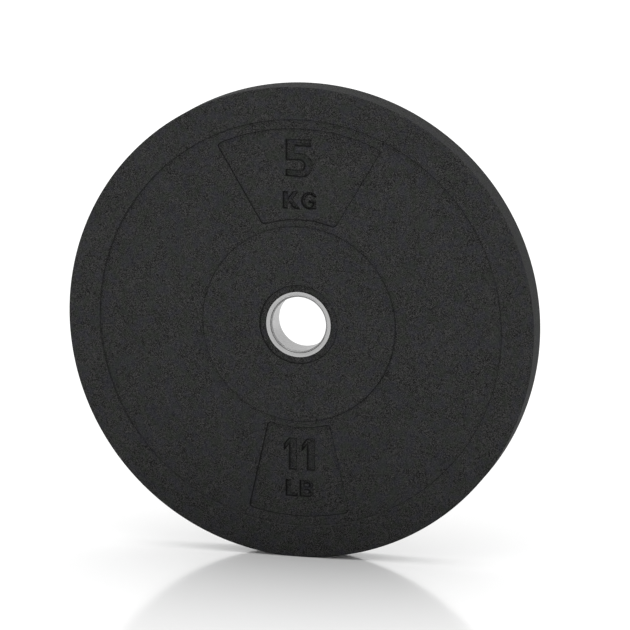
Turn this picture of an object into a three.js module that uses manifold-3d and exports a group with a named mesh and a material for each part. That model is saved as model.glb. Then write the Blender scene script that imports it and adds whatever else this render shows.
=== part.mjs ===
// Bumper plate for barbell training: one disc of moulded crumb rubber round a steel insert.
// Sizes are in millimetres. The bore runs along Y, the front face looks towards -Y, +Z is up.
// The origin lies on the bore's axis, half-way through the plate.
import * as THREE from "three";
import { mergeVertices } from "three/addons/utils/BufferGeometryUtils.js";
import Module from "manifold-3d";

// The rubber disc
const discDiameter = 450;
const discThickness = 31.5;
const rimRounding = 1.2;
const rimWidth = 30.4;
const hubDiameter = 185.6;
const webDepth = 1.8;
const channelWidth = 6.4;
const channelDepth = 1.8;
const wallSlant = 0.4;

// The steel sleeve that the bar passes through. Its ends are dished in towards a steep mouth.
const boreDiameter = 51.7;
const sleeveWall = 5.45;
const sleeveSetBack = 0.3;
const sleeveFaceWidth = 1.6;
const sleeveEdgeBevel = 0.4;
const dishDepth = 0.9;
const mouthWidth = 1.65;
const mouthDepth = 2;

// The anchor flange, buried in the rubber round the middle of the sleeve
const flangeWidth = 16.5;
const flangeThickness = 3;
const flangeHoleDiameter = 9;
const flangeHoleCount = 8;

// The panels sunk into the web, one above the bore and one below it
const panelOuterMargin = 8.8;
const panelInnerMargin = 6.5;
const panelDepth = 1.6;
const panelCornerRound = 4;
const upperPanelOuterWidth = 158.8;
const upperPanelInnerWidth = 69.8;
const lowerPanelOuterWidth = 98;
const lowerPanelInnerWidth = 60;

// The figures sunk into the panels, and the smaller letters of the units
const figureDepth = 3;
const figureHeight = 35.8;
const figureWidth = 25.8;
const figureBar = 6.5;
const figureStem = 8.1;
const figureDrop = 10.5;
const unitHeight = 16.3;
const unitWidth = 16.4;
const unitStroke = 4.6;
const unitRoundStroke = 3.7;
const unitDrop = 13.6;
const unitGap = 1.2;
const unitShift = 0.2;
const lowerFigureHeight = 31;
const lowerFigureWidth = 12.5;
const lowerFigureStem = 7.6;
const lowerFigureGap = 5;
const lowerFigureDrop = 11;
const lowerUnitDrop = 9.5;
const lowerUnitGap = 2.1;
const lowerUnitBar = 3.4;
const reachOfGShare = 0.76;
const widthOfLShare = 0.7;
const widthOfBShare = 0.8;

// Clearances, overrun of the cuts and fineness of the round faces
const seatGap = 0.3;
const overrun = 2;
const roundFacets = 96;
const holeFacets = 20;
const roundingSteps = 3;
const arcSteps = 10;

const faceY = discThickness / 2;
const discRadius = discDiameter / 2;
const rimInnerRadius = discRadius - rimWidth;
const hubRadius = hubDiameter / 2;
const boreRadius = boreDiameter / 2;
const sleeveRadius = boreRadius + sleeveWall;
const seatRadius = sleeveRadius + seatGap;
const channelRadius = sleeveRadius + channelWidth;
const flangeRadius = seatRadius + flangeWidth;
const panelOuterRadius = rimInnerRadius - panelOuterMargin;
const panelInnerRadius = hubRadius + panelInnerMargin;

const wasm = await Module();
wasm.setup();

function toSolid(geometry) {
  geometry.deleteAttribute("normal");
  geometry.deleteAttribute("uv");
  const merged = mergeVertices(geometry);
  return new wasm.Manifold(new wasm.Mesh({
    numProp: 3,
    vertProperties: new Float32Array(merged.attributes.position.array),
    triVerts: new Uint32Array(merged.index.array),
  }));
}

function toGeometry(solid) {
  const cut = solid.getMesh();
  const geometry = new THREE.BufferGeometry();
  geometry.setAttribute("position", new THREE.BufferAttribute(cut.vertProperties, 3));
  geometry.setIndex(new THREE.BufferAttribute(cut.triVerts, 1));
  geometry.computeVertexNormals();
  return geometry;
}

// A ring turned round Y from a closed profile of [radius, y] points.
function turned(profile, facets) {
  const closed = [...profile, profile[0]];
  return new THREE.LatheGeometry(closed.map(([radius, y]) => new THREE.Vector2(radius, y)), facets);
}

// A profile given from the bore outwards on the front side, with its mirror image on the back.
function bothSides(front) {
  const back = front.map(([radius, y]) => [radius, -y]).reverse();
  return [...front, ...back];
}

// An outline drawn in x and z, as seen from the front, pushed through the face to a depth.
function cutter(shape, floorY) {
  const geometry = new THREE.ExtrudeGeometry(shape, {
    depth: faceY + overrun - floorY,
    bevelEnabled: false,
    curveSegments: arcSteps,
  });
  geometry.translate(0, 0, floorY);
  geometry.rotateX(Math.PI / 2);
  return geometry;
}

// The same cut on the front face and, turned half a turn about Z, on the back face.
function cutBothFaces(solid, shapes, depth) {
  let result = solid;
  for (const shape of shapes) {
    for (const turn of [0, Math.PI]) {
      const tool = cutter(shape, faceY - depth);
      tool.rotateZ(turn);
      result = result.subtract(toSolid(tool));
    }
  }
  return result;
}

// Outline of a panel between two arcs about the bore, with straight sides and eased corners.
// side is 1 above the bore and -1 below it.
function panelOutline(side, outerWidth, innerWidth) {
  const outerHalf = outerWidth / 2;
  const innerHalf = innerWidth / 2;
  const outerCorner = new THREE.Vector2(outerHalf, Math.sqrt(panelOuterRadius ** 2 - outerHalf ** 2));
  const innerCorner = new THREE.Vector2(innerHalf, Math.sqrt(panelInnerRadius ** 2 - innerHalf ** 2));
  const along = outerCorner.clone().sub(innerCorner).setLength(panelCornerRound);
  const sideTop = outerCorner.clone().sub(along);
  const sideFoot = innerCorner.clone().add(along);
  const outerAngle = outerCorner.angle() + panelCornerRound / panelOuterRadius;
  const innerAngle = innerCorner.angle() + panelCornerRound / panelInnerRadius;
  const shape = new THREE.Shape();
  shape.moveTo(sideFoot.x, side * sideFoot.y);
  shape.lineTo(sideTop.x, side * sideTop.y);
  shape.quadraticCurveTo(outerCorner.x, side * outerCorner.y,
    panelOuterRadius * Math.cos(outerAngle), side * panelOuterRadius * Math.sin(outerAngle));
  shape.absarc(0, 0, panelOuterRadius, side * outerAngle, side * (Math.PI - outerAngle), side < 0);
  shape.quadraticCurveTo(-outerCorner.x, side * outerCorner.y, -sideTop.x, side * sideTop.y);
  shape.lineTo(-sideFoot.x, side * sideFoot.y);
  shape.quadraticCurveTo(-innerCorner.x, side * innerCorner.y,
    -panelInnerRadius * Math.cos(innerAngle), side * panelInnerRadius * Math.sin(innerAngle));
  shape.absarc(0, 0, panelInnerRadius, side * (Math.PI - innerAngle), side * innerAngle, side > 0);
  shape.quadraticCurveTo(innerCorner.x, side * innerCorner.y, sideFoot.x, side * sideFoot.y);
  return shape;
}

function polygon(points) {
  return new THREE.Shape(points.map(([x, z]) => new THREE.Vector2(x, z)));
}

// The figure five, centred on x, with its foot at z.
function figureFive(x, z) {
  const half = figureWidth / 2;
  const bowlRadiusShare = 0.315;
  const flagReachShare = 0.88;
  const lipShare = 0.03;
  const bowl = figureHeight * bowlRadiusShare;
  const counter = bowl - figureBar;
  const lip = figureHeight * lipShare;
  const flagEnd = x + half * flagReachShare;
  const top = z + figureHeight;
  const bowlX = x + half - bowl;
  const counterX = x + half - figureStem - counter;
  const shape = new THREE.Shape();
  shape.moveTo(x - half, top);
  shape.lineTo(flagEnd, top);
  shape.lineTo(flagEnd, top - figureBar);
  shape.lineTo(x - half + figureStem, top - figureBar);
  shape.lineTo(x - half + figureStem, z + 2 * bowl);
  shape.lineTo(bowlX, z + 2 * bowl);
  shape.absarc(bowlX, z + bowl, bowl, Math.PI / 2, -Math.PI / 2, true);
  shape.lineTo(x - half, z + lip);
  shape.lineTo(x - half, z + lip + figureBar);
  shape.lineTo(counterX, z + figureBar);
  shape.absarc(counterX, z + bowl, counter, -Math.PI / 2, Math.PI / 2, false);
  shape.lineTo(x - half, z + 2 * bowl - figureBar);
  return shape;
}

// The figure one, with its flag to the left of x and its stem's right side at x.
function figureOne(x, z) {
  const flagDropShare = 0.2;
  const flagDrop = lowerFigureHeight * flagDropShare;
  const top = z + lowerFigureHeight;
  const left = x - lowerFigureWidth;
  const stem = x - lowerFigureStem;
  return polygon([
    [x, z], [x, top], [stem, top], [left, top - flagDrop],
    [left, top - 2 * flagDrop], [stem, top - flagDrop], [stem, z],
  ]);
}

// The capital K, with its left side at x and its foot at z.
function capitalK(x, z) {
  const armShares = [[0.58, 1], [0.89, 1], [0.56, 0.53], [1, 0], [0.64, 0], [0.37, 0.37]];
  const armTopShare = 0.6;
  const armFootShare = 0.25;
  const top = z + unitHeight;
  const stem = x + unitStroke;
  return polygon([
    [x, z], [x, top], [stem, top], [stem, z + unitHeight * armTopShare],
    ...armShares.map(([across, up]) => [x + unitWidth * across, z + unitHeight * up]),
    [stem, z + unitHeight * armFootShare], [stem, z],
  ]);
}

// The capital G, with its left side at x and its foot at z.
function capitalG(x, z) {
  const barTopShare = 0.04;
  const barFootShare = 0.24;
  const tongueShare = 0.08;
  const spurShare = 0.6;
  const tipShares = [0.77, 0.38];
  const openingShare = 0.105;
  const heelShare = 0.208;
  const counterShare = 0.72;
  const counterOpeningShare = 0.125;
  const fullTurn = 2 * Math.PI;
  const heel = heelShare * fullTurn;
  const outer = unitHeight / 2;
  const inner = outer - unitRoundStroke;
  const middleX = x + outer;
  const middleZ = z + outer;
  const right = middleX + outer * reachOfGShare;
  const tongue = middleX - outer * tongueShare;
  const barTop = middleZ + outer * barTopShare;
  const barFoot = middleZ - outer * barFootShare;
  const shape = new THREE.Shape();
  shape.absarc(middleX, middleZ, outer, openingShare * fullTurn, fullTurn - heel, false);
  shape.lineTo(right, middleZ - outer * Math.sin(heel));
  shape.lineTo(right, barTop);
  shape.lineTo(tongue, barTop);
  shape.lineTo(tongue, barFoot);
  shape.lineTo(middleX + inner * spurShare, barFoot);
  shape.absellipse(middleX, middleZ, inner, outer * counterShare,
    -Math.acos(spurShare), (counterOpeningShare - 1) * fullTurn, true);
  shape.lineTo(middleX + outer * tipShares[0], middleZ + outer * tipShares[1]);
  return shape;
}

// The capital L, with its left side at x and its foot at z.
function capitalL(x, z) {
  const right = x + unitHeight * widthOfLShare;
  const stem = x + unitStroke;
  const top = z + unitHeight;
  return polygon([
    [x, z], [right, z], [right, z + lowerUnitBar], [stem, z + lowerUnitBar], [stem, top], [x, top],
  ]);
}

// The capital B, with its left side at x and its foot at z.
function capitalB(x, z) {
  const lobeShare = 0.28;
  const halfHeight = unitHeight / 2;
  const lobe = unitHeight * lobeShare;
  const waist = Math.asin((halfHeight - lobe) / lobe);
  const counter = (halfHeight - lowerUnitBar - lowerUnitBar / 2) / 2;
  const right = x + unitHeight * widthOfBShare;
  const lobeX = right - lobe;
  const counterX = right - unitRoundStroke - counter;
  const top = z + unitHeight;
  const shape = new THREE.Shape();
  shape.moveTo(x, z);
  shape.lineTo(lobeX, z);
  shape.absarc(lobeX, z + lobe, lobe, -Math.PI / 2, waist, false);
  shape.absarc(lobeX, top - lobe, lobe, -waist, Math.PI / 2, false);
  shape.lineTo(x, top);
  for (const middle of [z + lowerUnitBar + counter, top - lowerUnitBar - counter]) {
    const hole = new THREE.Path();
    hole.moveTo(x + unitStroke, middle - counter);
    hole.lineTo(counterX, middle - counter);
    hole.absarc(counterX, middle, counter, -Math.PI / 2, Math.PI / 2, false);
    hole.lineTo(x + unitStroke, middle + counter);
    shape.holes.push(hole);
  }
  return shape;
}

function upperMarking() {
  const figureFoot = panelOuterRadius - figureDrop - figureHeight;
  const unitFoot = figureFoot - unitDrop - unitHeight;
  const widthOfG = (unitHeight / 2) * (1 + reachOfGShare);
  const left = unitShift - (unitWidth + unitGap + widthOfG) / 2;
  return [
    figureFive(0, figureFoot),
    capitalK(left, unitFoot),
    capitalG(left + unitWidth + unitGap, unitFoot),
  ];
}

function lowerMarking() {
  const figureFoot = -panelInnerRadius - lowerFigureDrop - lowerFigureHeight;
  const unitFoot = figureFoot - lowerUnitDrop - unitHeight;
  const widthOfL = unitHeight * widthOfLShare;
  const widthOfB = unitHeight * widthOfBShare;
  const left = -(widthOfL + lowerUnitGap + widthOfB) / 2;
  return [
    figureOne(-lowerFigureGap / 2, figureFoot),
    figureOne(lowerFigureGap / 2 + lowerFigureWidth, figureFoot),
    capitalL(left, unitFoot),
    capitalB(left + widthOfL + lowerUnitGap, unitFoot),
  ];
}

// The flange, grown by a gap on every face when it is used to shape the rubber round it.
// Its holes lie half-way across its width.
function flangeSolid(gap, innerRadius) {
  const half = flangeThickness / 2 + gap;
  const holeRadius = flangeHoleDiameter / 2 - gap;
  const holeCircleRadius = (seatRadius + flangeRadius) / 2;
  const ring = turned(bothSides([[innerRadius, -half], [flangeRadius + gap, -half]]), roundFacets);
  let solid = toSolid(ring);
  for (let i = 0; i < flangeHoleCount; i += 1) {
    const angle = (i * 2 * Math.PI) / flangeHoleCount;
    const hole = new THREE.CylinderGeometry(holeRadius, holeRadius, 2 * (half + overrun), holeFacets);
    hole.translate(holeCircleRadius * Math.cos(angle), 0, holeCircleRadius * Math.sin(angle));
    solid = solid.subtract(toSolid(hole));
  }
  return solid;
}

// Rim edge as a quarter round from the face to the tread.
function rimEdge() {
  const points = [];
  for (let i = 0; i <= roundingSteps; i += 1) {
    const angle = (i / roundingSteps) * (Math.PI / 2);
    points.push([
      discRadius - rimRounding * (1 - Math.sin(angle)),
      -faceY + rimRounding * (1 - Math.cos(angle)),
    ]);
  }
  return points;
}

function rubberDisc() {
  const webY = -faceY + webDepth;
  const channelY = -faceY + channelDepth;
  const disc = turned(bothSides([
    [seatRadius, channelY],
    [channelRadius - wallSlant, channelY],
    [channelRadius, -faceY],
    [hubRadius, -faceY],
    [hubRadius + wallSlant, webY],
    [rimInnerRadius - wallSlant, webY],
    [rimInnerRadius, -faceY],
    ...rimEdge(),
  ]), roundFacets);
  const panels = [
    panelOutline(1, upperPanelOuterWidth, upperPanelInnerWidth),
    panelOutline(-1, lowerPanelOuterWidth, lowerPanelInnerWidth),
  ];
  const panelFloor = webDepth + panelDepth;
  let solid = toSolid(disc).subtract(flangeSolid(seatGap, sleeveRadius));
  solid = cutBothFaces(solid, panels, panelFloor);
  solid = cutBothFaces(solid, [...upperMarking(), ...lowerMarking()], panelFloor + figureDepth);
  return toGeometry(solid);
}

function boreSleeve() {
  const endY = sleeveSetBack - faceY;
  return turned(bothSides([
    [boreRadius, endY + dishDepth + mouthDepth],
    [boreRadius + mouthWidth, endY + dishDepth],
    [sleeveRadius - sleeveEdgeBevel - sleeveFaceWidth, endY],
    [sleeveRadius - sleeveEdgeBevel, endY],
    [sleeveRadius, endY + sleeveEdgeBevel],
  ]), roundFacets);
}

function anchorFlange() {
  return toGeometry(flangeSolid(0, seatRadius));
}

function crumbRubber() {
  return new THREE.MeshStandardMaterial({ color: 0x303132, roughness: 0.9, metalness: 0 });
}

function turnedSteel() {
  return new THREE.MeshStandardMaterial({ color: 0xc6c8c8, roughness: 0.35, metalness: 1 });
}

function millSteel() {
  return new THREE.MeshStandardMaterial({ color: 0x8b8d8f, roughness: 0.55, metalness: 1 });
}

function piece(name, geometry, material) {
  const mesh = new THREE.Mesh(geometry, material);
  mesh.name = name;
  return mesh;
}

const plate = new THREE.Group();
plate.name = "bumper_plate";
plate.add(
  piece("rubber_disc", rubberDisc(), crumbRubber()),
  piece("bore_sleeve", boreSleeve(), turnedSteel()),
  piece("anchor_flange", anchorFlange(), millSteel()),
);

export default plate;
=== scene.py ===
# A bumper plate: a steel insert with crumb rubber moulded round it, standing on a pale floor.
# Everything is in metres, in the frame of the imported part. The bore runs along Y, the front
# face looks towards -Y and +Z is up.
import math

import bmesh
import bpy
import numpy as np
from mathutils import Matrix, Vector
from mathutils.geometry import delaunay_2d_cdt


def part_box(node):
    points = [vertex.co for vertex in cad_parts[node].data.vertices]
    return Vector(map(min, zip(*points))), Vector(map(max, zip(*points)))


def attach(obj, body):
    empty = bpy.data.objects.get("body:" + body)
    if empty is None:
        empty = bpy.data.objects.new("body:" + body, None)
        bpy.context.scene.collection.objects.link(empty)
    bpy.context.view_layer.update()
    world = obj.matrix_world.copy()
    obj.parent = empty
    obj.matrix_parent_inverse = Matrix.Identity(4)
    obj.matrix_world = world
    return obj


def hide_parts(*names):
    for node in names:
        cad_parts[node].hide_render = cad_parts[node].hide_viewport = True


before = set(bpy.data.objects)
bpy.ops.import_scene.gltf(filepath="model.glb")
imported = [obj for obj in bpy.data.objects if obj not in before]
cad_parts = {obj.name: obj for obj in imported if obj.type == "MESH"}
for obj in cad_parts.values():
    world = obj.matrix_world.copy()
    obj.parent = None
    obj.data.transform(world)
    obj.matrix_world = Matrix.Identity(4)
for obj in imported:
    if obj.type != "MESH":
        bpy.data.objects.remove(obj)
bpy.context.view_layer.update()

# The bore sleeve
# A short length of thick steel tube, turned on a lathe, that slides along the sleeve of the
# bar. Its ends are faced and dished in a little, down to a scored line round a steep mouth.
sleeve_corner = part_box("bore_sleeve")[1]
sleeve_radius = sleeve_corner.x
sleeve_end = sleeve_corner.y
bore_radius = 0.02585
mouth_width = 0.00165
mouth_depth = 0.002
dish_depth = 0.0009
face_width = 0.0016
sleeve_bevel = 0.00025
score_width = 0.0005
score_depth = 0.0007
score_lip = 0.0003
tool_nose = 0.00008
nose_steps = 3
sleeve_facets = 256
soft_edge = math.radians(65)

# The turned steel has broad marks of hands, fine feed marks of the tool, edges rubbed bright and
# painted shade darkening the scored line.
steel_light = (0.445, 0.445, 0.444, 1)
steel_dark = (0.405, 0.405, 0.404, 1)
steel_worn = (0.495, 0.495, 0.493, 1)
steel_score_shade = (0.060, 0.058, 0.055, 1)
steel_roughness = (0.36, 0.44)
steel_rub_spread = 0.06
hand_marks = 0.012
hand_softness = 0.25
feed_marks = 0.00025
feed_detail = 2.0
feed_range = (0.3, 0.7)
feed_cover = 0.25
feed_strength = 0.25
feed_depth = 0.00002
score_shade_cover = 0.65
score_shade_core_share = 0.2


def mirrored(front):
    """A profile of (radius, y) given for the front half, with its mirror image on the back."""
    return front + [(radius, -y) for radius, y in reversed(front)]


def eased(corners, reach):
    """A closed profile with each corner turned into a small arc that starts at reach from it."""
    points = []
    for before, corner, after in zip(corners[-1:] + corners[:-1], corners, corners[1:] + corners[:1]):
        here = Vector(corner)
        start = here + (Vector(before) - here).normalized() * reach
        end = here + (Vector(after) - here).normalized() * reach
        for step in range(nose_steps + 1):
            share = step / nose_steps
            points.append(start.lerp(here, share).lerp(here.lerp(end, share), share))
    return points


def finished(name, form):
    """The object made of a bmesh, with its faces pointing out and its soft edges smooth."""
    bmesh.ops.recalc_face_normals(form, faces=form.faces)
    mesh = bpy.data.meshes.new(name)
    form.to_mesh(mesh)
    form.free()
    mesh.shade_smooth()
    mesh.set_sharp_from_angle(angle=soft_edge)
    piece = bpy.data.objects.new(name, mesh)
    bpy.context.scene.collection.objects.link(piece)
    weighted = piece.modifiers.new("weighted_normals", "WEIGHTED_NORMAL")
    weighted.keep_sharp = True
    return piece


def turned(name, profile, facets):
    """A closed ring turned round Y from a closed profile of (radius, y)."""
    form = bmesh.new()
    rows = []
    for radius, y in profile:
        angles = [2 * math.pi * i / facets for i in range(facets)]
        rows.append([form.verts.new((radius * math.cos(a), y, radius * math.sin(a))) for a in angles])
    for row, above in zip(rows, rows[1:] + rows[:1]):
        for i in range(facets):
            onward = (i + 1) % facets
            form.faces.new((row[i], row[onward], above[onward], above[i]))
    return finished(name, form)


def place(tree, kind, inputs=None, **settings):
    """Adds a shader node. Each input takes a value or the output of another node."""
    node = tree.nodes.new("ShaderNode" + kind)
    for name, value in settings.items():
        setattr(node, name, value)
    for name, value in (inputs or {}).items():
        if isinstance(value, bpy.types.NodeSocket):
            tree.links.new(value, node.inputs[name])
        else:
            node.inputs[name].default_value = value
    return node


def maths(tree, operation, first, second):
    """The result of one sum. Each number is a value or the output of another node."""
    return place(tree, "Math", {0: first, 1: second}, operation=operation).outputs["Value"]


def ranged(tree, value, low, high, to_low=0.0, to_high=1.0):
    """value taken from the range low to high into another, eased at both ends."""
    inputs = {"Value": value, "From Min": low, "From Max": high, "To Min": to_low, "To Max": to_high}
    return place(tree, "MapRange", inputs, interpolation_type="SMOOTHSTEP").outputs["Result"]


def tinted(tree, share, under, over):
    """The colour under, covered by the colour over as far as share says."""
    return place(tree, "MixRGB", {"Fac": share, "Color1": under, "Color2": over}).outputs["Color"]


def object_spot(tree):
    """Where a spot lies on the piece, in metres."""
    return place(tree, "TexCoord").outputs["Object"]


def effect_group(name, inputs, outputs):
    """An empty group for an effect that several finishes share, with its two end nodes."""
    tree = bpy.data.node_groups.new(name, "ShaderNodeTree")
    for side, sockets in (("INPUT", inputs), ("OUTPUT", outputs)):
        for socket in sockets:
            tree.interface.new_socket(socket, in_out=side, socket_type="NodeSocketFloat")
    return tree, tree.nodes.new("NodeGroupInput").outputs, tree.nodes.new("NodeGroupOutput").inputs


def effect(tree, group, **values):
    """The outputs of a shared effect, placed in a finish with its own values."""
    node = tree.nodes.new("ShaderNodeGroup")
    node.node_tree = group
    for name, value in values.items():
        node.inputs[name].default_value = value
    return node.outputs


# How finely the shared patches and rubbed edges break up, and the pointiness of level ground.
patch_detail = 4.0
patch_middle = 0.5
rub_detail = 3.0
rub_range = (0.35, 0.65)
level_ground = 0.505


def bore_distance():
    """How far a spot lies from the bore's axis, and that distance run on along the bore."""
    tree, _, given = effect_group("bore_distance", [], ["Radius", "Run"])
    along = place(tree, "SeparateXYZ", {"Vector": object_spot(tree)}).outputs
    across = place(tree, "CombineXYZ", {"X": along["X"], "Y": along["Z"]}).outputs["Vector"]
    radius = place(tree, "VectorMath", {0: across}, operation="LENGTH").outputs["Value"]
    tree.links.new(radius, given["Radius"])
    tree.links.new(maths(tree, "ADD", radius, along["Y"]), given["Run"])
    return tree


def patchiness():
    """Broad soft patches that handling and the mould leave on a surface."""
    tree, taken, given = effect_group("patchiness", ["Scale", "Softness"], ["Patches"])
    inputs = {"Vector": object_spot(tree), "Scale": taken["Scale"], "Detail": patch_detail}
    cloud = place(tree, "TexNoise", inputs).outputs["Fac"]
    low = maths(tree, "SUBTRACT", patch_middle, taken["Softness"])
    high = maths(tree, "ADD", patch_middle, taken["Softness"])
    tree.links.new(ranged(tree, cloud, low, high), given["Patches"])
    return tree


def edge_rub():
    """Wear along the edges that stand out, broken up into patches."""
    tree, taken, given = effect_group("edge_rub", ["Spread", "Scale"], ["Wear"])
    proud = place(tree, "NewGeometry").outputs["Pointiness"]
    lip = ranged(tree, proud, level_ground, maths(tree, "ADD", level_ground, taken["Spread"]))
    inputs = {"Vector": object_spot(tree), "Scale": taken["Scale"], "Detail": rub_detail}
    broken = ranged(tree, place(tree, "TexNoise", inputs).outputs["Fac"], *rub_range)
    tree.links.new(maths(tree, "MULTIPLY", lip, broken), given["Wear"])
    return tree


bore_distance_group = bore_distance()
patchiness_group = patchiness()
edge_rub_group = edge_rub()


def new_finish(name):
    """A new material, its node tree and the inputs of its shader."""
    material = bpy.data.materials.new(name)
    material.use_nodes = True
    tree = material.node_tree
    return material, tree, tree.nodes["Principled BSDF"].inputs


score_outer = bore_radius + mouth_width
score_inner = score_outer - score_width
score_middle = score_outer - score_width / 2


def turned_steel():
    material, tree, shader = new_finish("turned_steel")
    hands = effect(tree, patchiness_group, Scale=1 / hand_marks, Softness=hand_softness)["Patches"]
    rub = effect(tree, edge_rub_group, Spread=steel_rub_spread, Scale=1 / hand_marks)["Wear"]
    bore = effect(tree, bore_distance_group)
    inputs = {"W": bore["Run"], "Scale": 1 / feed_marks, "Detail": feed_detail}
    feed = place(tree, "TexNoise", inputs, noise_dimensions="1D").outputs["Fac"]
    tone = tinted(tree, hands, steel_dark, steel_light)
    tone = tinted(tree, ranged(tree, feed, *feed_range, 0.0, feed_cover), tone, steel_dark)
    tone = tinted(tree, rub, tone, steel_worn)
    # Painted shade: the scored line is darkened, most at its middle, where shade falls in the groove.
    aside = maths(tree, "ABSOLUTE", maths(tree, "SUBTRACT", bore["Radius"], score_middle), 0.0)
    score_shade_mask = ranged(tree, aside, score_width * score_shade_core_share, score_width / 2, score_shade_cover, 0.0)
    tree.links.new(tinted(tree, score_shade_mask, tone, steel_score_shade), shader["Base Color"])
    tree.links.new(ranged(tree, hands, 0.0, 1.0, *steel_roughness), shader["Roughness"])
    shader["Metallic"].default_value = 1.0
    marks = place(tree, "Bump", {"Height": feed, "Strength": feed_strength, "Distance": feed_depth})
    tree.links.new(marks.outputs["Normal"], shader["Normal"])
    return material


sleeve_profile = mirrored([
    (bore_radius, -sleeve_end + dish_depth + mouth_depth),
    (score_inner, -sleeve_end + dish_depth + score_lip),
    (score_middle, -sleeve_end + dish_depth + score_depth),
    (score_outer, -sleeve_end + dish_depth),
    (sleeve_radius - sleeve_bevel - face_width, -sleeve_end),
    (sleeve_radius - sleeve_bevel, -sleeve_end),
    (sleeve_radius, -sleeve_end + sleeve_bevel),
])
sleeve = turned("turned_sleeve", eased(sleeve_profile, tool_nose), sleeve_facets)
sleeve.data.materials.append(turned_steel())
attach(sleeve, "root")
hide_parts("bore_sleeve")

# The anchor flange
# A washer of rolled steel round the middle of the sleeve. The rubber fills its holes, which
# stops the insert from turning or pulling out, and nothing of it shows from outside.
flange_holes = 0.009
scale_blue = (0.190, 0.200, 0.215, 1)
scale_brown = (0.230, 0.205, 0.180, 1)
scale_patch = 0.006
scale_softness = 0.12
scale_rub_spread = 0.1
scale_roughness = (0.45, 0.65)
scale_strength = 0.3
scale_depth = 0.00005


def mill_steel():
    material, tree, shader = new_finish("mill_steel")
    scale = effect(tree, patchiness_group, Scale=1 / scale_patch, Softness=scale_softness)["Patches"]
    rub = effect(tree, edge_rub_group, Spread=scale_rub_spread, Scale=1 / scale_patch)["Wear"]
    tone = tinted(tree, scale, scale_blue, scale_brown)
    tree.links.new(tinted(tree, rub, tone, steel_dark), shader["Base Color"])
    tree.links.new(ranged(tree, scale, 0.0, 1.0, *scale_roughness), shader["Roughness"])
    shader["Metallic"].default_value = 1.0
    skin = place(tree, "Bump", {"Height": scale, "Strength": scale_strength, "Distance": scale_depth})
    tree.links.new(skin.outputs["Normal"], shader["Normal"])
    return material


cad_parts["anchor_flange"].data.materials[0] = mill_steel()

# The rubber disc
# One moulding of black rubber crumb, pressed hot round the insert. Its hub and rim stand proud
# of the web, the panels are sunk into the web, and the figures are sunk into the panels.
disc_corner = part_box("rubber_disc")[1]
disc_radius = disc_corner.x
face_y = disc_corner.y
seat_gap = 0.0003
seat_radius = sleeve_radius + seat_gap
channel_width = 0.0064
channel_radius = sleeve_radius + channel_width
channel_depth = 0.0018
hub_radius = 0.0928
rim_width = 0.0304
rim_inner_radius = disc_radius - rim_width
rim_rounding = 0.0012
web_depth = 0.0018
disc_facets = 384
rounding_steps = 6

# The slot that grips the flange, and the pegs of rubber that fill its holes.
flange_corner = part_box("anchor_flange")[1]
slot_radius = flange_corner.x + seat_gap
slot_half = flange_corner.y + seat_gap
peg_count = 8
peg_radius = flange_holes / 2 - seat_gap
peg_circle_radius = (seat_radius + flange_corner.x) / 2
peg_facets = 24

# The two sunk panels lie between the hub and the rim, above and below the bore. Widths are those
# at the outer and the inner corners.
panel_outer_margin = 0.0088
panel_inner_margin = 0.0065
panel_depth = 0.0016
panel_corner = 0.004
panel_step = 0.0008
upper_panel_widths = (0.1588, 0.0698)
lower_panel_widths = (0.098, 0.060)
panel_outer_radius = rim_inner_radius - panel_outer_margin
panel_inner_radius = hub_radius + panel_inner_margin

# The weight stands in the panels as block figures over smaller letters for its unit. A drop is
# the space between a figure or letter and what lies above it.
figure_depth = 0.003
figure_corner = 0.0006
figure_step = 0.0003
figure_height = 0.0358
figure_width = 0.0258
figure_bar = 0.0065
figure_stem = 0.0081
figure_drop = 0.0105
unit_height = 0.0163
unit_width = 0.0164
unit_stroke = 0.0046
unit_round_stroke = 0.0037
unit_drop = 0.0136
unit_gap = 0.0012
unit_shift = 0.0002
lower_figure_height = 0.031
lower_figure_width = 0.0125
lower_figure_stem = 0.0076
lower_figure_gap = 0.005
lower_figure_drop = 0.011
lower_unit_drop = 0.0095
lower_unit_gap = 0.0021
lower_unit_bar = 0.0034
reach_of_g_share = 0.76
width_of_l_share = 0.7
width_of_b_share = 0.8
least_arc_steps = 4

# A moulded wall leans back a little so that the mould lets go of it. Its lip is rounded, its
# foot is filleted alike, and a narrow flat apron runs along both. Where an outline turns by
# more than sharp_turn, points that would make the wall fold over itself are left out beside
# that corner, as far as the wall reaches there and sharp_room beyond.
wall_slope = math.radians(76)
wall_fillet = 0.0002
wall_apron = 0.0003
fillet_steps = 3
sharp_turn = math.radians(25)
sharp_room = 0.0002
least_bend = 0.001
weld_reach = 0.000001
fill_reach = weld_reach / 10

# Painted shade darkens the corner at the foot of every moulded wall, where shade falls, and
# thins out across the apron. It climbs high up the flanks of the channel, the panels and the
# figures, a little up the hub's and hardly up the rim's. The finish reads these depths between
# those of crease_range.
foot_shade = 6.0
channel_climb = 1.2
panel_climb = 1.2
figure_climb = 1.0
hub_climb = 0.3
rim_climb = 0.15
crease_range = (0.1, 0.9)

# The rubber is crumb with finer grit between, each crumb with a tone of its own. Faint tints
# and a broad mottle lie over it, then the rubbed edges, the worn tread darkened by painted shade,
# and the painted shade in the creases.
crumb_size = 0.00048
grit_size = 0.00025
grit_detail = 2.0
grit_share = 0.2
tone_range = (0.25, 0.95)
tint_patch = 0.009
tint_detail = 1.0
tint_range = (0.45, 0.7)
tint_cover = 0.4
mottle_scale = 45.0
mottle_softness = 0.3
mottle_cover = 0.08
rubbed_scale = 260.0
rubbed_spread = 0.08
rubbed_cover = 0.12
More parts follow.
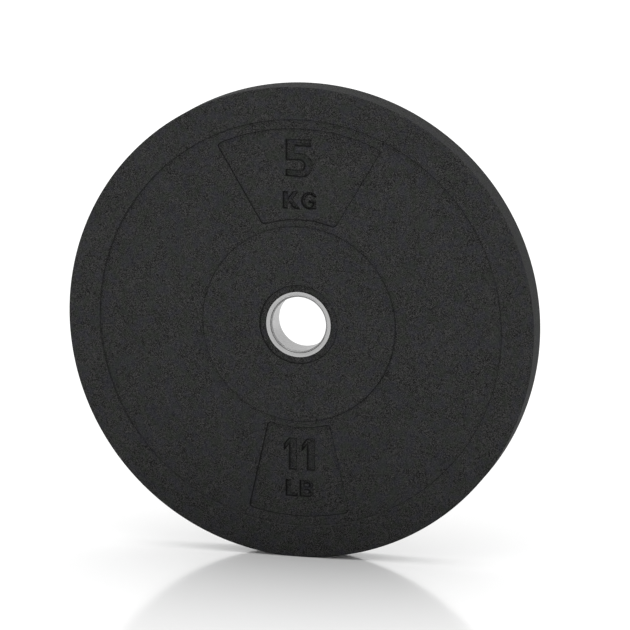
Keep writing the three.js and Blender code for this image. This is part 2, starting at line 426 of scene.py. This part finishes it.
# The tread's band: its darker tone is painted shade that sets how bright the tread shows under the
# light, while its lower roughness and flatter skin are wear.
tread_start_share = 0.6
tread_end_share = 0.1
tread_shade_cover = 0.3
tread_polish = 0.1
tread_relief_share = 0.3
crease_shade_cover = 0.85
rubber_roughness = (0.95, 0.85)
rubber_gloss = 0.1
grit_rise_share = 0.5
skin_strength = 0.4
skin_depth = 0.0002
crumb_black = (0.0038, 0.0038, 0.0038, 1)
crumb_grey = (0.0614, 0.0610, 0.0606, 1)
crumb_blue = (0.0260, 0.0263, 0.0372, 1)
crumb_green = (0.0226, 0.0292, 0.0204, 1)
crease_shade_black = (0.0073, 0.0074, 0.0074, 1)
rubbed_rubber = (0.0500, 0.0500, 0.0492, 1)
tread_shade_grey = (0.0150, 0.0153, 0.0153, 1)


def arc(x, z, radius, start, end, step=figure_step):
    """Points on an arc about (x, z), from the angle start to the angle end, step apart."""
    steps = max(least_arc_steps, round(abs(end - start) * radius / step))
    angles = [start + (end - start) * i / steps for i in range(steps + 1)]
    return [(x + radius * math.cos(angle), z + radius * math.sin(angle)) for angle in angles]


def wound(corners, turn):
    """The outline taken anticlockwise for a turn of 1 and clockwise for a turn of -1."""
    following = corners[1:] + corners[:1]
    area = sum(x * z_next - x_next * z for (x, z), (x_next, z_next) in zip(corners, following))
    return corners if area * turn > 0 else corners[::-1]


def ring(radius, facets=disc_facets, x=0.0, z=0.0):
    """A full circle of points, anticlockwise from the +X side."""
    angles = [2 * math.pi * i / facets for i in range(facets)]
    return [(x + radius * math.cos(angle), z + radius * math.sin(angle)) for angle in angles]


def panel_outline(side, widths):
    """A panel between two arcs about the bore: above it for a side of 1, below it for -1."""
    outer_angle = math.acos(widths[0] / 2 / panel_outer_radius)
    inner_angle = math.acos(widths[1] / 2 / panel_inner_radius)
    outer = arc(0, 0, panel_outer_radius, outer_angle, math.pi - outer_angle, panel_step)
    inner = arc(0, 0, panel_inner_radius, math.pi - inner_angle, inner_angle, panel_step)
    return wound([(x, side * z) for x, z in outer + inner], 1)


def figure_five(foot):
    bowl_share = 0.315
    lip_share = 0.03
    top_bar_share = 0.88
    half = figure_width / 2
    bowl = bowl_share * figure_height
    counter = bowl - figure_bar
    lip = lip_share * figure_height
    top = foot + figure_height
    bowl_x = half - bowl
    counter_x = half - figure_stem - counter
    outline = [
        (-half, top),
        (top_bar_share * half, top),
        (top_bar_share * half, top - figure_bar),
        (-half + figure_stem, top - figure_bar),
        (-half + figure_stem, foot + 2 * bowl),
    ]
    outline += arc(bowl_x, foot + bowl, bowl, math.pi / 2, -math.pi / 2)
    outline += [(-half, foot + lip), (-half, foot + lip + figure_bar)]
    outline += arc(counter_x, foot + bowl, counter, -math.pi / 2, math.pi / 2)
    outline += [(-half, foot + 2 * bowl - figure_bar)]
    return [outline]


def figure_one(right, foot):
    flag_drop_share = 0.2
    flag_drop = flag_drop_share * lower_figure_height
    top = foot + lower_figure_height
    left = right - lower_figure_width
    stem = right - lower_figure_stem
    return [[
        (right, foot),
        (right, top),
        (stem, top),
        (left, top - flag_drop),
        (left, top - 2 * flag_drop),
        (stem, top - flag_drop),
        (stem, foot),
    ]]


def capital_k(left, foot):
    arm_shares = ((0.58, 1), (0.89, 1), (0.56, 0.53), (1, 0), (0.64, 0), (0.37, 0.37))
    arm_root_share = 0.6
    leg_root_share = 0.25
    stem = left + unit_stroke
    top = foot + unit_height
    outline = [(left, foot), (left, top), (stem, top), (stem, foot + arm_root_share * unit_height)]
    outline += [(left + unit_width * across, foot + unit_height * up) for across, up in arm_shares]
    outline += [(stem, foot + leg_root_share * unit_height), (stem, foot)]
    return [outline]


def capital_g(left, foot):
    spur_share = 0.6
    tongue_share = 0.08
    bar_shares = (0.04, -0.24)
    counter_height_share = 0.72
    nib_shares = (0.77, 0.38)
    heel = math.radians(75)
    mouth = math.radians(38)
    counter_end = math.radians(-315)
    outer = unit_height / 2
    inner = outer - unit_round_stroke
    x = left + outer
    z = foot + outer
    right = x + outer * reach_of_g_share
    tongue = x - tongue_share * outer
    bar_top, bar_foot = (z + share * outer for share in bar_shares)
    outline = arc(x, z, outer, mouth, 2 * math.pi - heel)
    outline += [(right, z - outer * math.sin(heel)), (right, bar_top), (tongue, bar_top)]
    outline += [(tongue, bar_foot), (x + inner * spur_share, bar_foot)]
    counter = arc(x, z, inner, -math.acos(spur_share), counter_end)
    squeeze = counter_height_share * outer / inner
    outline += [(across, z + (up - z) * squeeze) for across, up in counter]
    return [outline + [(x + nib_shares[0] * outer, z + nib_shares[1] * outer)]]


def capital_l(left, foot):
    right = left + unit_height * width_of_l_share
    stem = left + unit_stroke
    top = foot + unit_height
    bar_top = foot + lower_unit_bar
    return [[(left, foot), (right, foot), (right, bar_top), (stem, bar_top), (stem, top), (left, top)]]


def capital_b(left, foot):
    lobe_share = 0.28
    bars_in_a_half = 1.5
    half = unit_height / 2
    lobe = lobe_share * unit_height
    waist = math.asin((half - lobe) / lobe)
    counter = (half - bars_in_a_half * lower_unit_bar) / 2
    right = left + unit_height * width_of_b_share
    counter_x = right - unit_round_stroke - counter
    top = foot + unit_height
    outline = [(left, foot)]
    outline += arc(right - lobe, foot + lobe, lobe, -math.pi / 2, waist)
    outline += arc(right - lobe, top - lobe, lobe, -waist, math.pi / 2)[1:]
    outlines = [outline + [(left, top)]]
    for middle in (foot + lower_unit_bar + counter, top - lower_unit_bar - counter):
        stem_side = [(left + unit_stroke, middle + counter), (left + unit_stroke, middle - counter)]
        outlines.append(stem_side + arc(counter_x, middle, counter, -math.pi / 2, math.pi / 2))
    return outlines


def upper_marking():
    """The outlines sunk into the upper panel."""
    figure_foot = panel_outer_radius - figure_drop - figure_height
    unit_foot = figure_foot - unit_drop - unit_height
    width_of_g = unit_height / 2 * (1 + reach_of_g_share)
    left = unit_shift - (unit_width + unit_gap + width_of_g) / 2
    return [
        figure_five(figure_foot),
        capital_k(left, unit_foot),
        capital_g(left + unit_width + unit_gap, unit_foot),
    ]


def lower_marking():
    figure_foot = -panel_inner_radius - lower_figure_drop - lower_figure_height
    unit_foot = figure_foot - lower_unit_drop - unit_height
    width_of_l = unit_height * width_of_l_share
    left = -(width_of_l + lower_unit_gap + unit_height * width_of_b_share) / 2
    return [
        figure_one(-lower_figure_gap / 2, figure_foot),
        figure_one(lower_figure_gap / 2 + lower_figure_width, figure_foot),
        capital_l(left, unit_foot),
        capital_b(left + width_of_l + lower_unit_gap, unit_foot),
    ]


def wall_profile(depth):
    """The way down a wall as offsets from its middle and depths: a flat apron, the rounded lip,
    the leaning flank, the filleted foot and another apron."""
    turns = [wall_slope * i / fillet_steps for i in range(fillet_steps + 1)]
    curve = [(wall_fillet * math.sin(turn), wall_fillet * (1 - math.cos(turn))) for turn in turns]
    curve_reach, curve_depth = curve[-1]
    reach = curve_reach + (depth / 2 - curve_depth) / math.tan(wall_slope)
    lip = [(across - reach, down) for across, down in curve]
    foot = [(-across, depth - down) for across, down in reversed(lip)]
    return [(-reach - wall_apron, 0.0)] + lip + foot + [(reach + wall_apron, depth)]


def cleared(corners, reach):
    """The outline without the points of its curves that lie so near a sharp corner that a wall
    of that reach would fold over itself there."""
    onward = np.roll(corners, -1, axis=0) - corners
    heading = np.arctan2(onward[:, 1], onward[:, 0])
    turn = np.abs((heading - np.roll(heading, 1) + math.pi) % (2 * math.pi) - math.pi)
    sharp = turn > sharp_turn
    kept = np.ones(len(corners), dtype=bool)
    for corner, angle in zip(corners[sharp], turn[sharp]):
        room = reach * math.tan(angle / 2) + sharp_room
        kept &= sharp | (np.linalg.norm(corners - corner, axis=1) > room)
    return corners[kept]


def wall_loops(corners, depth, step=disc_radius, ease=0.0):
    """Loops of points down a moulded wall, from its upper apron to its lower one. The sunk side
    lies to the left of the outline's direction, corners are eased from ease away, and points
    stay only where the outline bends."""
    corners = cleared(np.array(corners), wall_profile(depth)[-1][0])
    onward = np.roll(corners, -1, axis=0) - corners
    lengths = np.linalg.norm(onward, axis=1)
    left = np.column_stack((-onward[:, 1], onward[:, 0])) / lengths[:, None]
    left_before = np.roll(left, 1, axis=0)
    mitre = (left + left_before) / (1 + (left * left_before).sum(axis=1))[:, None]
    counts = np.maximum(1, np.round(lengths / step)).astype(int)
    window = round(ease / step)

    def loop_at(offset):
        moved = corners + mitre * offset
        pairs = zip(moved, np.roll(moved, -1, axis=0), counts)
        points = np.vstack([np.linspace(a, b, count, endpoint=False) for a, b, count in pairs])
        shifted = [np.roll(points, shift, axis=0) for shift in range(-window, window + 1)]
        return sum(shifted) / len(shifted)

    middle = loop_at(0.0)
    ahead = np.roll(middle, -1, axis=0) - middle
    behind = middle - np.roll(middle, 1, axis=0)
    turning = np.abs(behind[:, 0] * ahead[:, 1] - behind[:, 1] * ahead[:, 0])
    bends = turning > least_bend * np.linalg.norm(ahead, axis=1) * np.linalg.norm(behind, axis=1)
    return [loop_at(offset)[bends] for offset, _ in wall_profile(depth)]


def add_bands(form, loops, heights, creases=None):
    """Bands of four-sided faces through loops that have as many points. Each loop may say how
    deep in a crease it lies, which is how much painted shade it carries."""
    layer = form.verts.layers.float["crease"]
    rows = []
    for loop, y, crease in zip(loops, heights, creases or [0.0] * len(loops)):
        row = [form.verts.new((x, y, z)) for x, z in loop]
        for vert in row:
            vert[layer] = crease
        rows.append(row)
    for near, far in zip(rows, rows[1:]):
        for i in range(len(near)):
            form.faces.new((near[i - 1], near[i], far[i], far[i - 1]))


def add_wall(form, loops, lip_y, depth, climb):
    """A moulded wall from its lip to its foot, with painted shade at its foot and up its flank."""
    downs = [down for _, down in wall_profile(depth)]
    # Painted shade: deepest in the foot, it climbs the flank as far as climb says.
    creases = [climb * down / depth for down in downs[:-2]] + [foot_shade, 0.0]
    add_bands(form, loops, [lip_y + down for down in downs], creases)


def add_floor(form, outer, holes, y):
    """A flat face at y inside the loop outer and outside the loops of its holes. It is filled
    inwards from its border, with a change of side at each loop that is crossed."""
    points = []
    borders = []
    for loop in [outer] + holes:
        start = len(points)
        points += [Vector(point) for point in loop]
        borders += [(start + i, start + (i + 1) % len(loop)) for i in range(len(loop))]
    corners, edges, triangles, _, sources, _ = delaunay_2d_cdt(points, borders, [], 0, fill_reach)
    crossed = {frozenset(edge) for edge, source in zip(edges, sources) if source}
    sides = {}
    for triangle in triangles:
        for i in range(3):
            sides.setdefault(frozenset((triangle[i - 1], triangle[i])), []).append(tuple(triangle))
    filled = {}
    waiting = [(pair[0], side in crossed) for side, pair in sides.items() if len(pair) == 1]
    while waiting:
        triangle, within = waiting.pop()
        if triangle in filled:
            continue
        filled[triangle] = within
        for i in range(3):
            side = frozenset((triangle[i - 1], triangle[i]))
            waiting += [(other, within != (side in crossed)) for other in sides[side]]
    kept = [triangle for triangle, within in filled.items() if within]
    used = {i: form.verts.new((corners[i].x, y, corners[i].y)) for triangle in kept for i in triangle}
    for triangle in kept:
        form.faces.new([used[i] for i in triangle])


def add_panel(form, outline, marking):
    """A sunk panel with its figures. It gives back the loop where the web meets its apron."""
    web_y = -face_y + web_depth
    floor_y = web_y + panel_depth
    loops = wall_loops(outline, panel_depth, panel_step, panel_corner)
    add_wall(form, loops, web_y, panel_depth, panel_climb)
    lips = []
    for figure in marking:
        walls = [wall_loops(wound(figure[0], 1), figure_depth, figure_step, figure_corner)]
        for island in figure[1:]:
            walls.append(wall_loops(wound(island, -1), figure_depth, figure_step, figure_corner))
            add_floor(form, walls[-1][0], [], floor_y)
        for wall in walls:
            add_wall(form, wall, floor_y, figure_depth, figure_climb)
        add_floor(form, walls[0][-1], [island[-1] for island in walls[1:]], floor_y + figure_depth)
        lips.append(walls[0][0])
    add_floor(form, loops[-1], lips, floor_y)
    return loops[0]


def add_insert_seat(form):
    """The wall that grips the sleeve, and half the slot and pegs that grip the flange."""
    pegs = []
    for i in range(peg_count):
        angle = 2 * math.pi * i / peg_count
        x = peg_circle_radius * math.cos(angle)
        z = peg_circle_radius * math.sin(angle)
        pegs.append(ring(peg_radius, peg_facets, x, z))
        add_bands(form, [pegs[-1], pegs[-1]], [-slot_half, 0])
    add_bands(form, [ring(slot_radius), ring(slot_radius)], [-slot_half, 0])
    add_floor(form, ring(slot_radius), [ring(seat_radius)] + pegs, -slot_half)
    add_bands(form, [ring(seat_radius), ring(seat_radius)], [-slot_half, -face_y + channel_depth])


def add_front_half(form):
    """Everything from the middle of the plate to its front face."""
    web_y = -face_y + web_depth
    add_insert_seat(form)
    channel = wall_loops(ring(channel_radius), channel_depth)
    hub = wall_loops(ring(hub_radius)[::-1], web_depth)
    rim = wall_loops(ring(rim_inner_radius), web_depth)
    channel_y = -face_y + channel_depth
    beside_sleeve = [ring(seat_radius), ring(seat_radius + wall_apron)]
    # Painted shade in the corner at the foot of the sleeve's wall.
    add_bands(form, beside_sleeve, [channel_y, channel_y], [foot_shade, 0.0])
    add_floor(form, channel[-1], [beside_sleeve[1]], channel_y)
    add_wall(form, channel, -face_y, channel_depth, channel_climb)
    add_floor(form, hub[0], [channel[0]], -face_y)
    add_wall(form, hub, -face_y, web_depth, hub_climb)
    upper = add_panel(form, panel_outline(1, upper_panel_widths), upper_marking())
    lower = add_panel(form, panel_outline(-1, lower_panel_widths), lower_marking())
    add_floor(form, rim[-1], [hub[-1], upper, lower], web_y)
    add_wall(form, rim, -face_y, web_depth, rim_climb)
    face_edge = ring(disc_radius - rim_rounding - wall_apron)
    add_floor(form, face_edge, [rim[0]], -face_y)
    angles = [math.pi / 2 * i / rounding_steps for i in range(rounding_steps + 1)]
    rounding = [ring(disc_radius - rim_rounding * (1 - math.sin(angle))) for angle in angles]
    drops = [rim_rounding * (1 - math.cos(angle)) for angle in angles]
    heights = [-face_y] + [drop - face_y for drop in drops] + [0]
    add_bands(form, [face_edge] + rounding + [ring(disc_radius)], heights)


def moulded_disc():
    """The front half and its copy, turned half a turn about Z, welded at the middle."""
    form = bmesh.new()
    form.verts.layers.float.new("crease")
    add_front_half(form)
    copied = bmesh.ops.duplicate(form, geom=form.verts[:] + form.faces[:])["geom"]
    turned_verts = [item for item in copied if isinstance(item, bmesh.types.BMVert)]
    bmesh.ops.rotate(form, verts=turned_verts, matrix=Matrix.Rotation(math.pi, 3, "Z"))
    bmesh.ops.remove_doubles(form, verts=form.verts, dist=weld_reach)
    return finished("moulded_disc", form)


def crumb_rubber():
    material, tree, shader = new_finish("crumb_rubber")
    spot = object_spot(tree)
    crumb = place(tree, "TexVoronoi", {"Vector": spot, "Scale": 1 / crumb_size}).outputs
    own = place(tree, "SeparateColor", {"Color": crumb["Color"]}).outputs["Red"]
    inputs = {"Vector": spot, "Scale": 1 / grit_size, "Detail": grit_detail}
    grit = place(tree, "TexNoise", inputs).outputs["Fac"]
    inputs = {"Vector": spot, "Scale": 1 / tint_patch, "Detail": tint_detail}
    stain = place(tree, "TexNoise", inputs).outputs["Color"]
    stains = place(tree, "SeparateColor", {"Color": stain}).outputs
    mottle = effect(tree, patchiness_group, Scale=mottle_scale, Softness=mottle_softness)["Patches"]
    rub = effect(tree, edge_rub_group, Spread=rubbed_spread, Scale=rubbed_scale)["Wear"]
    # The crease layer carries painted shade for the feet and flanks of the moulded walls.
    crease = place(tree, "Attribute", attribute_name="crease").outputs["Fac"]
    crease = ranged(tree, crease, *crease_range)
    radius = effect(tree, bore_distance_group)["Radius"]
    tread_start = disc_radius - rim_rounding * tread_start_share
    tread = ranged(tree, radius, tread_start, disc_radius - rim_rounding * tread_end_share)

    coarse = maths(tree, "MULTIPLY", own, 1 - grit_share)
    tone = maths(tree, "ADD", coarse, maths(tree, "MULTIPLY", grit, grit_share))
    colour = tinted(tree, ranged(tree, tone, *tone_range), crumb_black, crumb_grey)
    for channel, tint in (("Red", crumb_blue), ("Green", crumb_green)):
        cover = ranged(tree, stains[channel], *tint_range, 0.0, tint_cover)
        colour = tinted(tree, cover, colour, tint)
    colour = tinted(tree, ranged(tree, mottle, 0.0, 1.0, 0.0, mottle_cover), colour, crumb_grey)
    # Of these layers, the tread's tone and the crease's black are painted shade; the rubbed edges are
    # wear.
    layers = (
        (rub, rubbed_cover, rubbed_rubber),
        (tread, tread_shade_cover, tread_shade_grey),
        (crease, crease_shade_cover, crease_shade_black),
    )
    for where, cover, over in layers:
        colour = tinted(tree, maths(tree, "MULTIPLY", where, cover), colour, over)
    tree.links.new(colour, shader["Base Color"])

    rough = ranged(tree, tone, 0.0, 1.0, *rubber_roughness)
    rough = maths(tree, "SUBTRACT", rough, maths(tree, "MULTIPLY", tread, tread_polish))
    tree.links.new(rough, shader["Roughness"])
    shader["Specular IOR Level"].default_value = rubber_gloss

    relief = maths(tree, "MULTIPLY", grit, grit_rise_share)
    relief = maths(tree, "SUBTRACT", relief, crumb["Distance"])
    worn_down = ranged(tree, tread, 0.0, 1.0, 1.0, tread_relief_share)
    relief = maths(tree, "MULTIPLY", relief, worn_down)
    skin = place(tree, "Bump", {"Height": relief, "Strength": skin_strength, "Distance": skin_depth})
    tree.links.new(skin.outputs["Normal"], shader["Normal"])
    return material


disc = moulded_disc()
disc.data.materials.append(crumb_rubber())
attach(disc, "root")
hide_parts("rubber_disc")

# The studio floor
# A pale glossy sheet that the plate stands on. Its own colour runs out to white, it keeps the
# plate's soft shadow, and its gloss dies away with the distance from the plate.
floor_z = -disc_radius
floor_radius = 14.0
floor_facets = 64
floor_paint = (0.935, 0.935, 0.935, 1)
floor_dim = (0.0, 0.0, 0.0, 1)
white = (1, 1, 1, 1)
gloss_share = 0.355
gloss_roughness = 0.12
gloss_fade = 0.42
dim_fade = 0.12
dim_power = 4.0


def studio_floor():
    form = bmesh.new()
    corners = [form.verts.new((x, z, floor_z)) for x, z in ring(floor_radius, floor_facets)]
    form.faces.new(corners)
    mesh = bpy.data.meshes.new("studio_floor")
    form.to_mesh(mesh)
    form.free()
    sheet = bpy.data.objects.new("studio_floor", mesh)
    bpy.context.scene.collection.objects.link(sheet)
    return sheet


def floor_finish():
    """Paint under a thin gloss. Close to the plate the paint throws no light back up, so that
    the lower part of the plate's faces stays darker."""
    material = bpy.data.materials.new("floor_finish")
    material.use_nodes = True
    tree = material.node_tree
    tree.nodes.clear()
    along = place(tree, "SeparateXYZ", {"Vector": object_spot(tree)}).outputs
    away = maths(tree, "SUBTRACT", maths(tree, "ABSOLUTE", along["Y"], 0.0), face_y)
    away = maths(tree, "MAXIMUM", away, 0.0)
    fade = maths(tree, "POWER", math.e, maths(tree, "DIVIDE", away, -gloss_fade))
    seen = place(tree, "LightPath").outputs
    share = maths(tree, "MULTIPLY", fade, maths(tree, "SUBTRACT", gloss_share, seen["Is Diffuse Ray"]))
    fall = maths(tree, "POWER", maths(tree, "DIVIDE", away, dim_fade), dim_power)
    dim = maths(tree, "POWER", math.e, maths(tree, "MULTIPLY", fall, -1.0))
    dim = maths(tree, "MULTIPLY", dim, seen["Is Diffuse Ray"])
    paint = place(tree, "BsdfDiffuse", {"Color": tinted(tree, dim, floor_paint, floor_dim)})
    gloss = place(tree, "BsdfGlossy", {"Color": white, "Roughness": gloss_roughness})
    both = place(tree, "MixShader", {0: share, 1: paint.outputs["BSDF"], 2: gloss.outputs["BSDF"]})
    place(tree, "OutputMaterial", {"Surface": both.outputs["Shader"]})
    return material


floor = studio_floor()
floor.data.materials.append(floor_finish())

# The studio light
# A white room that lights everything evenly, and a wide soft lamp straight overhead, which lays
# the plate's short soft shadow on the floor.
overhead_light = 0.9
overhead_spread = math.radians(60)


def white_room():
    world = bpy.data.worlds.new("white_room")
    world.use_nodes = True
    world.node_tree.nodes["Background"].inputs["Color"].default_value = white
    bpy.context.scene.world = world


def soft_lamp(name, direction, strength, spread):
    """A wide far lamp that shines from the given direction."""
    data = bpy.data.lights.new(name, "SUN")
    data.energy = strength
    data.angle = spread
    lamp = bpy.data.objects.new(name, data)
    lamp.rotation_euler = direction.to_track_quat("Z", "Y").to_euler()
    bpy.context.scene.collection.objects.link(lamp)


white_room()
soft_lamp("overhead_lamp", Vector((0, 0, 1)), overhead_light, overhead_spread)

# The camera
# A long lens a little above the plate and to its right.
aim = Vector((0.0122, 0, 0.0068))
camera_distance = 3.886
camera_azimuth = math.radians(14.37)
camera_elevation = math.radians(11.958)
camera_lens = 236.3
camera_reach = 60

camera_data = bpy.data.cameras.new("camera")
camera_data.lens = camera_lens
camera_data.clip_end = camera_reach
camera = bpy.data.objects.new("camera", camera_data)
towards_camera = Vector((
    math.sin(camera_azimuth) * math.cos(camera_elevation),
    -math.cos(camera_azimuth) * math.cos(camera_elevation),
    math.sin(camera_elevation),
))
camera.location = aim + towards_camera * camera_distance
camera.rotation_euler = (-towards_camera).to_track_quat("-Z", "Y").to_euler()
bpy.context.scene.collection.objects.link(camera)
bpy.context.scene.camera = camera
bpy.context.scene.view_settings.view_transform = "Standard"
